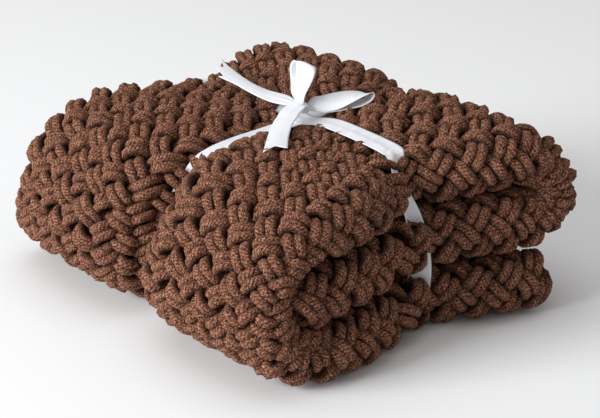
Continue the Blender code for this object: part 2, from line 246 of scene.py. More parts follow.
def folded(across, along, out):
    """Points of the folded cloth. across runs over the nose from the far edge (as y on the upper
    ply), along follows the strip from its short end, and out is the height over the ply's middle."""
    under = np.maximum(HALF_LAYER - NOSE_LENGTH - across, 0)
    under_length = HALF_LAYER - NOSE_LENGTH - NEAR_ACROSS
    turn = np.clip((HALF_LAYER - across) / NOSE_LENGTH, 0, 1) * pi
    reach = PLY_MIDDLE + out
    y = np.maximum(across, HALF_LAYER) + under * (FAR_ACROSS - HALF_LAYER) / under_length
    y = y - reach * np.sin(turn)
    from_middle = reach * np.cos(turn)

    on_top = along - BOTTOM_LENGTH - LEFT_LENGTH
    left_turn = np.clip((along - BOTTOM_LENGTH) / LEFT_LENGTH, 0, 1) * pi
    right_turn = np.clip((on_top - TOP_LENGTH) / RIGHT_LENGTH, 0, 1) * pi
    inside = np.maximum(on_top - TOP_LENGTH - RIGHT_LENGTH, 0)
    x = END_X - np.minimum(along, BOTTOM_LENGTH) - LEFT_TURN * np.sin(left_turn)
    x = x + np.clip(on_top, 0, TOP_LENGTH)
    x = x + RIGHT_TURN * np.sin(right_turn) - inside
    z = HALF_LAYER + LEFT_TURN * (1 - np.cos(left_turn)) - RIGHT_TURN * (1 - np.cos(right_turn))
    facing = -pi / 2 - left_turn - right_turn
    return tied(x + from_middle * np.cos(facing), y, z + from_middle * np.sin(facing))


# The creases and lobes take up more cloth than the flat bundle has, so the stitches shift across the
# cloth until they are evenly spread again along every row. This table holds the shifts.
ROWS_ALONG = np.linspace(0, 1.15, 231)
ROWS_ACROSS = np.linspace(FAR_ACROSS, NEAR_ACROSS, 361)
SPREAD_AT = 0.006
SPREAD_EASINGS = 6


def even_shifts():
    """How far each point of each row has to move across the cloth for the stitches to lie evenly."""
    across, along = np.meshgrid(ROWS_ACROSS, ROWS_ALONG)
    points = folded(across, along, SPREAD_AT)
    steps = np.linalg.norm(np.diff(points, axis=1), axis=2)
    walked = np.concatenate([np.zeros((len(ROWS_ALONG), 1)), np.cumsum(steps, axis=1)], axis=1)
    walked = walked / walked[:, -1:]
    even = np.linspace(0, 1, len(ROWS_ACROSS))
    shifts = np.stack([np.interp(even, row, ROWS_ACROSS) for row in walked]) - ROWS_ACROSS
    for _ in range(SPREAD_EASINGS):
        shifts[1:-1] = (shifts[:-2] + 2 * shifts[1:-1] + shifts[2:]) / 4
    return shifts


SHIFTS = even_shifts()


# Where the tied cloth is pulled out of its even spread: a place across and along in stitch repeats,
# and how far the cloth there is pulled across and along, in repeats as well.
PULLS = (
    (7.5, 1.0, 0.33, 0.20), (7.0, -1.5, 0.08, 0.37), (5.3, 1.5, 0.38, 0.10), (5.0, 0.0, 0.37, 0.07),
    (4.1, 0.0, 0.50, -0.40), (7.0, -3.0, -0.11, 0.20), (2.2, 0.8, -0.35, 0.05), (0.5, 1.0, -0.10, 0.10),
    (0.0, 2.0, 0.15, 0.20), (1.5, 0.0, -0.70, 0.05), (-0.5, 0.2, -0.20, 0.12), (0.5, -0.5, -0.75, 0.05),
    (2.0, -1.0, -1.10, 0.14), (1.5, -2.5, -1.00, 0.10), (0.0, -2.5, -0.80, 0.10), (0.0, 4.0, 0.20, -0.10),
    (-1.0, 3.5, 0.10, -0.20), (1.5, 7.5, 0.25, 0.15), (-0.5, 7.5, 0.05, 0.00), (0.0, 9.0, 0.20, 0.10),
    (-1.0, 9.0, 0.05, -0.20), (1.5, 9.0, 0.45, 0.35),
)
PULL_REACH = 1.3
PULL_EASE = 0.15
PULL_FADE = 1.5


def pulled(across, along):
    """A stitch's place across and along the cloth after the pulls, fading out at the far edge."""
    place_across = (across - STITCH_Y) / REPEAT_ACROSS
    place_along = (along - STITCH_ALONG) / REPEAT_ALONG
    total = PULL_EASE
    move_across = 0
    move_along = 0
    for over, onward, pull_across, pull_along in PULLS:
        away = (place_across - over) ** 2 + (place_along - onward) ** 2
        weight = np.exp(-away / PULL_REACH ** 2)
        total = total + weight
        move_across = move_across + weight * pull_across
        move_along = move_along + weight * pull_along
    kept = np.clip((FAR_EDGE - place_across) / PULL_FADE, 0, 1) / total
    return across + REPEAT_ACROSS * kept * move_across, along + REPEAT_ALONG * kept * move_along


def spread_evenly(across, along):
    """The place on the cloth of a stitch that the flat pattern has at across."""
    row = np.clip(along / ROWS_ALONG[-1], 0, 1) * (len(ROWS_ALONG) - 1)
    column = np.clip((across - FAR_ACROSS) / (NEAR_ACROSS - FAR_ACROSS), 0, 1) * (len(ROWS_ACROSS) - 1)
    top = np.minimum(row.astype(int), len(ROWS_ALONG) - 2)
    first = np.minimum(column.astype(int), len(ROWS_ACROSS) - 2)
    down, aside = row - top, column - first
    upper = SHIFTS[top, first] * (1 - aside) + SHIFTS[top, first + 1] * aside
    lower = SHIFTS[top + 1, first] * (1 - aside) + SHIFTS[top + 1, first + 1] * aside
    return across + upper * (1 - down) + lower * down


# How far each band's pressure reaches beside its middle, to its near side and to its far one. On the
# right and far sides it reaches evenly past both edges.
REACH_X = (0.0050, 0.0230)
REACH_Y = (0.0100, 0.0160)
EVEN_REACH = (0.0180, 0.0180)

# Where the bands touch the cloth, along it or across it: down the right turn, over the nose, past the
# far edge above and below. The bow's right loop and back tail cover the two stretches named last, where
# the cords close over the ribbon.
TOUCHED_TURN = 0.110
TOUCHED_NOSE = (-0.060, 0.022)
TOUCHED_FAR = 0.420
TOUCHED_FAR_UNDER = 0.020
LOOP_COVERS_FROM = 0.262
TAIL_COVERS = (0.250, 0.430)


def reached(away, reach):
    """1 under a band, from how far a point lies to its far side, fading to 0 beside it."""
    near, far = reach
    return np.exp(-((away / np.where(away > 0, far, -near)) ** 6))


def under_ribbon(across, along):
    """1 where a band crosses the outside of the bundle, fading to 0 beside it."""
    on_top = along - BOTTOM_LENGTH - LEFT_LENGTH
    inside = on_top - TOP_LENGTH - RIGHT_LENGTH
    on_outside = (across > 0) & (on_top < TOP_LENGTH + TOUCHED_TURN)
    x = np.where(inside > 0, RIGHT_X - inside, LEFT_X + on_top)
    x = np.where(along < BOTTOM_LENGTH, END_X - along, x)
    turning = ((along > BOTTOM_LENGTH) & (on_top < 0)) | ((on_top > TOP_LENGTH) & (inside < 0))
    near_side = (across > TOUCHED_NOSE[0]) & (across < TOUCHED_NOSE[1])
    far_side = (across > TOUCHED_FAR) | (across < NEAR_ACROSS + TOUCHED_FAR_UNDER)
    outside = ~turning & (near_side | far_side | (on_outside & (inside < 0)))
    under_loop = (x > LOOP_COVERS_FROM) & (on_top > 0) & (on_top < TOP_LENGTH)
    under_tail = (across > TAIL_COVERS[0]) & (across < TAIL_COVERS[1]) & (on_top > 0)
    away_x, away_y = across - TIE_Y, x - TIE_X
    band_x = np.where(x > TIE_X, reached(away_x, EVEN_REACH), reached(away_x, REACH_X))
    band_y = np.where(across > TIE_Y, reached(away_y, EVEN_REACH), reached(away_y, REACH_Y))
    return np.maximum(band_x * on_outside * ~under_loop, band_y * outside * ~under_tail)


def placed(across, along):
    """Where on the folded cloth a stitch of the flat pattern ends up."""
    across, along = pulled(across, along)
    return spread_evenly(across, along), along


# The inner shade sheet
# A thin sheet on the same folds for the knit's inside, seen only deep between the cords, which the
# cords pass through on their way from face to face. Its near-black colour is painted shade for the deep
# gaps.

CORE_THICK = 0.0066
CORE_THINNED = 0.6
CORE_ROWS = 170
CORE_COLUMNS = 130
CORE_END_INSET, CORE_SIDE_INSET = 0.25, 0.2
# The sheet's colours, with a little grain: near black, far darker than the yarn, as painted shade.
CORE_SHADE = (
    (0.38, (0.003, 0.001, 0.0005)),
    (0.64, (0.045, 0.014, 0.007)),
)


class Socket:
    """A material socket with arithmetic: an expression adds the Math node for each operator."""

    def __init__(self, material, link):
        self.material = material
        self.link = link

    def math(self, operation, *values):
        return self.material.add("ShaderNodeMath", {"operation": operation}, dict(enumerate(values)))

    def __add__(self, other):
        return self.math("ADD", self, other)

    def __sub__(self, other):
        return self.math("SUBTRACT", self, other)

    def __mul__(self, other):
        return self.math("MULTIPLY", self, other)

    def __radd__(self, other):
        return self.math("ADD", other, self)

    def __rsub__(self, other):
        return self.math("SUBTRACT", other, self)

    def __rmul__(self, other):
        return self.math("MULTIPLY", other, self)


class Finish:
    """A material and its nodes. add makes any node from its type, its settings and its inputs."""

    def __init__(self, name, **constants):
        self.material = bpy.data.materials.new(name)
        self.material.use_nodes = True
        self.nodes = self.material.node_tree.nodes
        self.links = self.material.node_tree.links
        self.shader = self.nodes["Principled BSDF"]
        for socket, value in constants.items():
            self.shader.inputs[socket.replace("_", " ")].default_value = value

    def put(self, socket, value):
        if isinstance(value, Socket):
            self.links.new(value.link, socket)
        else:
            socket.default_value = value

    def add(self, kind, settings, inputs, output=0):
        node = self.nodes.new(kind)
        for name, value in settings.items():
            if name == "stops":
                ramp = node.color_ramp
                while len(ramp.elements) < len(value):
                    ramp.elements.new(0.5)
                for element, (place, colour) in zip(ramp.elements, value):
                    element.position = place
                    element.color = (*colour, 1)
            else:
                setattr(node, name, value)
        for name, value in inputs.items():
            self.put(node.inputs[name], value)
        return Socket(self, node.outputs[output])

    def mix(self, factor, first, second):
        return self.add("ShaderNodeMix", {"data_type": "RGBA"}, {0: factor, 6: first, 7: second}, 2)

    def surface(self, **values):
        for name, value in values.items():
            self.put(self.shader.inputs[name.replace("_", " ")], value)
        return self.material


def mesh_piece(name, points, faces, material, **marks):
    """A smooth piece from points and faces, riding on the part's one body. marks are named numbers
    for each point that the material reads."""
    mesh = bpy.data.meshes.new(name)
    mesh.from_pydata(points.reshape(-1, 3).tolist(), [], faces)
    mesh.shade_smooth()
    mesh.materials.append(material)
    for mark, values in marks.items():
        mesh.attributes.new(mark, "FLOAT", "POINT").data.foreach_set("value", values)
    piece = bpy.data.objects.new(name, mesh)
    bpy.context.collection.objects.link(piece)
    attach(piece, "root")
    return piece


core_finish = Finish("chenille_shadow", Roughness=1.0, Specular_IOR_Level=0.0)
core_place = core_finish.add("ShaderNodeTexCoord", {}, {}, "Object")
core_pile = core_finish.add("ShaderNodeTexNoise", {}, {
    "Vector": core_place, "Scale": 600.0, "Detail": 3.0, "Roughness": 0.8})
core_shade = core_finish.add("ShaderNodeValToRGB", {"stops": CORE_SHADE}, {"Fac": core_pile})
core_bump = core_finish.add("ShaderNodeBump", {}, {
    "Strength": 0.9, "Distance": 0.002, "Height": core_pile})
core_material = core_finish.surface(Base_Color=core_shade, Normal=core_bump)


def slab(rows, columns, point_at):
    """Points and faces of a closed thin sheet from a function of row, column and face (1 or -1)."""
    row, column = np.meshgrid(np.linspace(0, 1, rows), np.linspace(0, 1, columns), indexing="ij")
    points = np.stack([point_at(row, column, 1), point_at(row, column, -1)])
    index = np.arange(2 * rows * columns).reshape(2, rows, columns)
    upper, lower = index
    faces = np.stack([upper[:-1, :-1], upper[1:, :-1], upper[1:, 1:], upper[:-1, 1:]], -1)
    under = np.stack([lower[:-1, :-1], lower[:-1, 1:], lower[1:, 1:], lower[1:, :-1]], -1)
    rims = []
    for edge_up, edge_down in (
        (upper[:, 0], lower[:, 0]),
        (upper[-1, :], lower[-1, :]),
        (upper[::-1, -1], lower[::-1, -1]),
        (upper[0, ::-1], lower[0, ::-1]),
    ):
        rims.append(np.stack([edge_up[:-1], edge_down[:-1], edge_down[1:], edge_up[1:]], -1))
    return points, np.concatenate([faces.reshape(-1, 4), under.reshape(-1, 4), *rims]).tolist()


def core_point(row, column, face):
    """A point of the inner shade sheet, a little inside the cloth's edges."""
    first, last = START_EDGE + CORE_END_INSET, LAST_EDGE - CORE_END_INSET
    far, near = FAR_EDGE - CORE_SIDE_INSET, NEAR_EDGE + CORE_SIDE_INSET
    along = STITCH_ALONG + REPEAT_ALONG * (first + (last - first) * row)
    across = STITCH_Y + REPEAT_ACROSS * (far + (near - far) * column)
    thick = CORE_THICK * (1 - CORE_THINNED * under_ribbon(across, along))
    return folded(spread_evenly(across, along), along, face * thick / 2)


core = mesh_piece("knit_inner_shade_sheet", *slab(CORE_ROWS, CORE_COLUMNS, core_point), core_material)


# The knit
# Thick chenille yarn, knitted by hand with its strands in pairs. Each pair shows as a short bar, then
# dives under the bars that lie the other way, and turns back at the edges of the cloth.

YARN_RADIUS = 0.0050
YARN_SIDES = 8
STEP = 0.0026
PIECES = 6

# How far each strand lies beside the middle of its pair, how high the pair rises, how much of that is
# left under the ribbon, how flat its bar is along the top, where that top lies over the ply's middle,
# and how widely the pair turns at an edge.
PAIR_HALF = 0.0043
STITCH_RISE = HALF_PLY - YARN_RADIUS
PRESSED_RISE = 0.50
STITCH_FLAT = 0.8
STITCH_TOP = 0.01
TURN_REACH = 0.016

# How uneven the hand makes it: the stitches' places, their height and spacing, and the yarn's girth.
DRIFT = 0.0026
WOBBLE = 0.0014
UNEVEN_RISE = 0.0007
UNEVEN_SPREAD = 0.08
UNEVEN_GIRTH = 0.05
UNEVEN_SKIN = 0.00045

# The pair opens and the yarn swells on top of a stitch, and both fill the room that the fold leaves.
HIGH_SPREAD = 0.06
HIGH_GIRTH = 0.04
PRESSED_GIRTH = 0.10
ROOM_LIMITS = (0.90, 1.16)
ROOM_GIRTH_POWER = 0.4

# How much light the shade painted into the yarn's colour leaves in the pits where a pair dives under and
# on the cord's sides and underside, along the groove of the pair, and between which heights and which
# cosines round the yarn it fades. Then the pile's twist round the yarn and its tufts.
PIT_SHARE = 0.12
PIT_RISES = (-0.75, 0.75)
SIDE_SHADE_SHARE = 0.22
SIDE_SHADE_COSINES = (0.05, 1.0)
PILE_PITCH = 0.0026
PILE_STARTS = 5
PILE_SCALE = 700.0
PILE_DEPTH = 0.0018
PILE_WANDER = 7.0
FIBRE_SHARE = 0.10
RIDGE_SHARE = 0.035
PATCH_SHARE = 0.15

# Where layers cover the cloth, every second station is enough. It shows between two places along it
# on its near part, over the nose, at the far edge and at its short end.
SHOWN_ALONG = (0.19, 0.92)
SHOWN_FROM_ACROSS = -0.05
SHOWN_NOSE = 0.075
SHOWN_FAR_PLACE, SHOWN_FAR_HALF = 0.43, 0.03
SHOWN_SHORT_END = 0.05

YARN_SHADE = (
    (0.39, (0.026, 0.0080, 0.0045)),
    (0.50, (0.160, 0.059, 0.033)),
    (0.61, (0.570, 0.285, 0.185)),
)
WARM_TONE = (0.165, 0.060, 0.031, 1)
# The near-black tone of the shade painted into the pits and the cords' sides.
PIT_SHADE_TONE = (0.012, 0.004, 0.002, 1)
SHEEN_TONE = (0.75, 0.50, 0.38, 1)


def wave_sum(seed, size, count=7):
    """A smooth uneven field from -1 to 1 with swells of about the given size, in metres."""
    random = np.random.default_rng(seed)
    angles = random.uniform(0, 2 * pi, count)
    lengths = size * random.uniform(0.7, 1.6, count)
    starts = random.uniform(0, 2 * pi, count)

    def field(first, second):
        total = 0
        for angle, length, start in zip(angles, lengths, starts):
            total = total + np.sin(2 * pi * (first * cos(angle) + second * sin(angle)) / length + start)
        return total / sqrt(count)

    return field


drift_across = wave_sum(11, 0.16)
drift_along = wave_sum(12, 0.16)
wobble_across = wave_sum(13, 0.055)
wobble_along = wave_sum(14, 0.055)
swell = wave_sum(15, 0.030)
height_field = wave_sum(16, 0.045)
spread_field = wave_sum(17, 0.050)


def strand_line(kind, first, last, level):
    """The middle line of a pair of strands, in metres on the flat cloth, and its rise. kind is 1 for
    a pair that climbs with y and -1 for one that falls with it."""
    step = np.array([REPEAT_ALONG, kind * REPEAT_ACROSS])
    length = np.hypot(*step) * (last - first)
    count = max(int(round(length / STEP)), 6)
    places = np.linspace(first, last, count + 1)
    line = np.stack([places * REPEAT_ALONG, kind * (places - level) * REPEAT_ACROSS], -1)
    rise = kind * np.cos(2 * pi * places)
    rise = np.tanh(STITCH_FLAT * rise) / np.tanh(STITCH_FLAT)
    for edge, heading in ((first, -1), (last, 1)):
        left = abs(places - edge)
        rise = np.where(left < 0.5, -kind * np.cos(2 * pi * edge) * np.sin(pi * left), rise)
        corner = np.array([edge * REPEAT_ALONG, kind * (edge - level) * REPEAT_ACROSS])
        travel = heading * step / np.hypot(*step)
        at_end = edge in (START_EDGE, LAST_EDGE)
        normal = np.array([1.0, 0.0]) if at_end else np.array([0.0, 1.0])
        onward = travel - 2 * travel.dot(normal) * normal
        walked = left * np.hypot(*step)
        turning = walked < TURN_REACH
        part = 0.5 * (1 - walked[turning] / TURN_REACH)[:, None]
        start = corner - travel * TURN_REACH
        finish = corner + onward * TURN_REACH
        line[turning] = (1 - part) ** 2 * start + 2 * part * (1 - part) * corner + part ** 2 * finish
    return line, rise


def thin_out(line):
    """Keeps every station where the cloth shows and every second one where layers cover it."""
    along = line[:, 0] + STITCH_ALONG
    across = line[:, 1] + STITCH_Y
    seen = (along > SHOWN_ALONG[0]) & (along < SHOWN_ALONG[1]) & (across > SHOWN_FROM_ACROSS)
    seen = seen | (abs(across) < SHOWN_NOSE) | (abs(across - SHOWN_FAR_PLACE) < SHOWN_FAR_HALF)
    seen = seen | (along < SHOWN_SHORT_END)
    keep = seen | (np.arange(len(line)) % 2 == 0)
    keep[[0, -1]] = True
    return keep


def cloth_normal(across, along):
    """The direction square to the folded cloth at each point, on the side that faces out."""
    nudge = 0.0015
    over = folded(across + nudge, along, 0) - folded(across - nudge, along, 0)
    onward = folded(across, along + nudge, 0) - folded(across, along - nudge, 0)
    face = np.cross(over, onward)
    face = face / np.linalg.norm(face, axis=1)[:, None]
    out = folded(across, along, nudge) - folded(across, along, -nudge)
    return face * np.sign((face * out).sum(1))[:, None]


def stretch(across, along):
    """How much wider or closer the stitches lie at each place than in the flat pattern."""
    nudge = 0.004

    def top_of(across, along):
        return folded(*placed(across, along), STITCH_TOP)

    over = top_of(across + nudge, along) - top_of(across - nudge, along)
    onward = top_of(across, along + nudge) - top_of(across, along - nudge)
    return np.sqrt(np.linalg.norm(np.cross(over, onward), axis=1)) / (2 * nudge)


def yarn(line, rise, side, random):
    """One strand's rings of points, a round cord a little uneven, with how open to the light each
    point lies, from 0 in the pits to 1, which sets the shade painted into its colour, and how far its
    pile is twisted round the cord."""
    along, across = line[:, 0] + STITCH_ALONG, line[:, 1] + STITCH_Y
    high = np.clip(rise, 0, 1)
    spread = PAIR_HALF * (1 + HIGH_SPREAD * high + UNEVEN_SPREAD * spread_field(along, across))
    along = along + DRIFT * drift_along(along, across) + WOBBLE * wobble_along(along, across)
    across = across + DRIFT * drift_across(along, across) + WOBBLE * wobble_across(along, across)
    room = np.clip(stretch(across, along), *ROOM_LIMITS)
    across, along = placed(across, along)
    pressed = under_ribbon(across, along)
    out = rise * STITCH_RISE + UNEVEN_RISE * height_field(along, across)
    out = out - np.maximum(out, 0) * (1 - PRESSED_RISE) * pressed
    face = cloth_normal(across, along)
    middle = folded(across, along, 0) + face * out[:, None]
    tangent = np.gradient(middle, axis=0)
    tangent = tangent / np.linalg.norm(tangent, axis=1)[:, None]
    up = face - (face * tangent).sum(1)[:, None] * tangent
    up = up / np.linalg.norm(up, axis=1)[:, None]
    beside = np.cross(tangent, up)
    middle = middle + beside * (side * spread * room)[:, None]
    turn = np.arange(YARN_SIDES) * 2 * pi / YARN_SIDES - pi
    girth = 1 + UNEVEN_GIRTH * swell(along, across) + HIGH_GIRTH * np.clip(rise, -1, 1)
    radius = YARN_RADIUS * room ** ROOM_GIRTH_POWER * (girth - PRESSED_GIRTH * pressed)
    radius = radius[:, None] + random.normal(0, UNEVEN_SKIN, (len(line), YARN_SIDES))
    ring = up[:, None] * np.cos(turn)[:, None] + beside[:, None] * np.sin(turn)[:, None]
    points = middle[:, None] + ring * radius[..., None]
    points[..., 2] = np.maximum(points[..., 2], FLOOR_GAP)
    # Painted shade: the colour darkens where the cord dives under the crossing bars, and on its sides and
    # underside away from its top.
    openness = (PIT_SHARE + (1 - PIT_SHARE) * smooth_step(*PIT_RISES, rise))[:, None]
    around = smooth_step(*SIDE_SHADE_COSINES, np.cos(turn))
    openness = openness * (SIDE_SHADE_SHARE + (1 - SIDE_SHADE_SHARE) * around)
    walked = np.concatenate([[0], np.cumsum(np.linalg.norm(np.diff(middle, axis=0), axis=1))])
    twist = 2 * pi * walked[:, None] / PILE_PITCH + PILE_STARTS * turn
    return points, openness, twist


def tubes(cords):
    """Points and faces of closed tubes through rings of points, and the marks of each point."""
    points = []
    openness = []
    twists = []
    faces = []
    start = 0
    for rings, open_share, twist in cords:
        count, sides = rings.shape[:2]
        index = start + np.arange(count * sides).reshape(count, sides)
        beside = np.roll(index, -1, axis=1)
        walls = np.stack([index[:-1], beside[:-1], beside[1:], index[1:]], -1).reshape(-1, 4)
        faces += walls.tolist()
        faces.append(index[0][::-1].tolist())
        faces.append(index[-1].tolist())
        points.append(rings.reshape(-1, 3))
        openness.append(open_share.reshape(-1))
        twists.append(twist.reshape(-1))
        start += count * sides
    marks = {"openness": np.concatenate(openness), "twist": np.concatenate(twists)}
    return np.concatenate(points), faces, marks


yarn_finish = Finish(
    "chenille_yarn", Roughness=0.95, Specular_IOR_Level=0.1,
    Sheen_Weight=0.06, Sheen_Roughness=0.5, Sheen_Tint=SHEEN_TONE)
yarn_place = yarn_finish.add("ShaderNodeTexCoord", {}, {}, "Object")
open_share = yarn_finish.add("ShaderNodeAttribute", {"attribute_name": "openness"}, {}, "Fac")
pile = yarn_finish.add("ShaderNodeTexNoise", {}, {
    "Vector": yarn_place, "Scale": PILE_SCALE, "Detail": 3.0, "Roughness": 0.8})
fibre = yarn_finish.add("ShaderNodeTexVoronoi", {}, {"Vector": yarn_place, "Scale": PILE_SCALE})
patch = yarn_finish.add("ShaderNodeTexNoise", {}, {
    "Vector": yarn_place, "Scale": 30.0, "Detail": 2.0})
twist = yarn_finish.add("ShaderNodeAttribute", {"attribute_name": "twist"}, {}, "Fac")
ridge = yarn_finish.add("ShaderNodeMath", {"operation": "SINE"}, {0: twist + PILE_WANDER * pile})
tuft = pile + FIBRE_SHARE * (0.5 - fibre) + RIDGE_SHARE * ridge
shade = yarn_finish.add("ShaderNodeValToRGB", {"stops": YARN_SHADE}, {"Fac": tuft})
warm = yarn_finish.mix(PATCH_SHARE * patch, shade, WARM_TONE)
# Painted shade: the pits and the cords' sides are mixed towards a near-black tone.
painted_shade_colour = yarn_finish.mix(open_share, PIT_SHADE_TONE, warm)
bump = yarn_finish.add("ShaderNodeBump", {}, {
    "Strength": 1.0, "Distance": PILE_DEPTH, "Height": tuft})
yarn_material = yarn_finish.surface(Base_Color=painted_shade_colour, Normal=bump)

# Each pair's line runs slantwise from one edge of the cloth to another. The lines that fall with y
# come first.
SHORTEST_LINE = 0.4
lines = []
for kind, low_edge, high_edge in ((-1, -FAR_EDGE, -NEAR_EDGE), (1, NEAR_EDGE, FAR_EDGE)):
    for level in range(-40, 41):
        first, last = max(START_EDGE, level + low_edge), min(LAST_EDGE, level + high_edge)
        if last - first > SHORTEST_LINE:
            lines.append((kind, first, last, level))

random = np.random.default_rng(2026)
cords = []
for kind, first, last, level in lines:
    line, rise = strand_line(kind, first, last, level)
    keep = thin_out(line)
    for side in (-1, 1):
        cords.append(yarn(line[keep], rise[keep], side, random))
total = sum(len(rings) for rings, _, _ in cords)
batches = [[]]
for cord in cords:
    batches[-1].append(cord)
    if sum(len(rings) for rings, _, _ in batches[-1]) > total / PIECES:
        batches.append([])
knit = []
for number, batch in enumerate(batches, 1):
    points, faces, marks = tubes(batch)
    knit.append(mesh_piece("knit_yarn_" + str(number), points, faces, yarn_material, **marks))
for piece in [core, *knit]:
    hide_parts("blanket")


# The ribbon bands
# White satin ribbon, 22 mm wide, drawn tight round the bundle one way and then the other. It lies in
# the creases that it cuts, on the pressed cords, with a soft fold along it.

RIBBON_WIDTH = 0.022
RIBBON_THICK = 0.0005
SATIN_TONES = (0.68, 0.70, 0.75, 1), (0.78, 0.79, 0.82, 1)

# Each band's way round the bundle, its distance out from it, and the height of its soft fold. A bend
# has its place in the band's outline, its reach, how sharply it ends, and how far the band lifts and
# shifts to its far side there.
BAND_COLUMNS = ("name", "axis", "out", "ridge", "bends")
BANDS = (
    dict(zip(BAND_COLUMNS, ("ribbon_band_x", "x", -0.0026, 0.0010, (
        ((0.010, 0.125), 0.055, 1, 0.0090, 0.0050),
        ((0.300, 0.172), 0.045, 3, -0.0110, 0.0000),
        ((0.386, 0.128), 0.054, 2, 0.0090, 0.0000),
    )))),
    dict(zip(BAND_COLUMNS, ("ribbon_band_y", "y", -0.0018, 0.0010, (
        ((0.003, 0.050), 0.050, 1, 0.0000, 0.0050),
        ((0.003, 0.150), 0.028, 1, 0.0000, -0.0090),
        ((0.340, 0.172), 0.092, 3, -0.0115, 0.0030),
        ((0.447, 0.085), 0.090, 3, 0.0050, 0.0000),
    )))),
)
BAND_STEPS = 360
BAND_FACES = 14
RIDGE_PLACE, RIDGE_HALF_WIDTH = -0.25, 0.35
RIPPLE_LENGTHS = (0.083, 0.031)
WAVE_HEIGHT, WAVE_LENGTH = 0.0003, 0.019

satin_finish = Finish("ribbon_satin", Roughness=0.38, Sheen_Weight=0.15, Sheen_Roughness=0.35)
satin_place = satin_finish.add("ShaderNodeTexCoord", {}, {}, "Object")
satin_cloud = satin_finish.add("ShaderNodeTexNoise", {}, {
    "Vector": satin_place, "Scale": 60.0, "Detail": 2.0})
satin_weave = satin_finish.add("ShaderNodeTexNoise", {}, {
    "Vector": satin_place, "Scale": 2400.0, "Detail": 1.0})
satin_tone = satin_finish.mix(satin_cloud, *SATIN_TONES)
satin_bump = satin_finish.add("ShaderNodeBump", {}, {
    "Strength": 0.15, "Distance": 0.0002, "Height": satin_weave})
satin_material = satin_finish.surface(Base_Color=satin_tone, Normal=satin_bump)


def arc(centre, radius, start, sweep, steps):
    """Points of an arc after its first one; a negative sweep turns clockwise."""
    turn = start + sweep * np.arange(1, steps + 1) / steps
    return [(centre[0] + radius * cos(each), centre[1] + radius * sin(each)) for each in turn]


def band_outline_x(out):
    """The bundle's outline in x and z, clockwise, at a distance out from it."""
    left = (BUNDLE_Z / 2, BUNDLE_Z / 2)
    right = (BUNDLE_X - LAYER - LAYER_GAP / 2, BUNDLE_Z - LAYER - LAYER_GAP / 2)
    heel = (END_X - LOW_EDGE, LOW_EDGE)
    bend = LAYER + LAYER_GAP / 2
    slope = atan2(heel[1] - right[1], heel[0] - right[0])
    reach = sqrt((heel[0] - right[0]) ** 2 + (heel[1] - right[1]) ** 2)
    leave = slope + acos((bend - LOW_EDGE) / reach)
    outline = [(left[0], BUNDLE_Z + out), (right[0], BUNDLE_Z + out)]
    outline += arc(right, bend + out, pi / 2, leave - pi / 2, 24)
    outline += arc(heel, LOW_EDGE + out, leave + 0.001, -pi / 2 - leave, 8)
    outline.append((left[0], -out))
    outline += arc(left, BUNDLE_Z / 2 + out, -pi / 2, -pi, 40)
    return outline


def band_outline_y(out):
    """The bundle's outline in y and z, clockwise, at a distance out from it."""
    far = BUNDLE_Y - LOW_EDGE
    top = BUNDLE_Z - HALF_LAYER
    outline = [(HALF_LAYER, BUNDLE_Z + out), (far, BUNDLE_Z + out)]
    outline += arc((far, BUNDLE_Z - LOW_EDGE), LOW_EDGE + out, pi / 2, -pi / 2, 8)
    outline.append((BUNDLE_Y + out, LOW_EDGE))
    outline += arc((far, LOW_EDGE), LOW_EDGE + out, 0, -pi / 2, 8)
    outline.append((HALF_LAYER, -out))
    outline += arc((HALF_LAYER, HALF_LAYER), HALF_LAYER + out, -pi / 2, -pi / 2, 16)
    outline.append((-out, top))
    outline += arc((HALF_LAYER, top), HALF_LAYER + out, pi, -pi / 2, 16)
    return outline


def walk(outline, steps):
    """Evenly spaced points along an outline that ends where it starts, and their distances."""
    outline = np.array(outline)
    lengths = np.linalg.norm(np.diff(outline, axis=0), axis=1)
    walked = np.concatenate([[0], np.cumsum(lengths)])
    places = np.linspace(0, walked[-1], steps + 1)
    return np.stack([np.interp(places, walked, outline[:, axis]) for axis in (0, 1)], -1), places


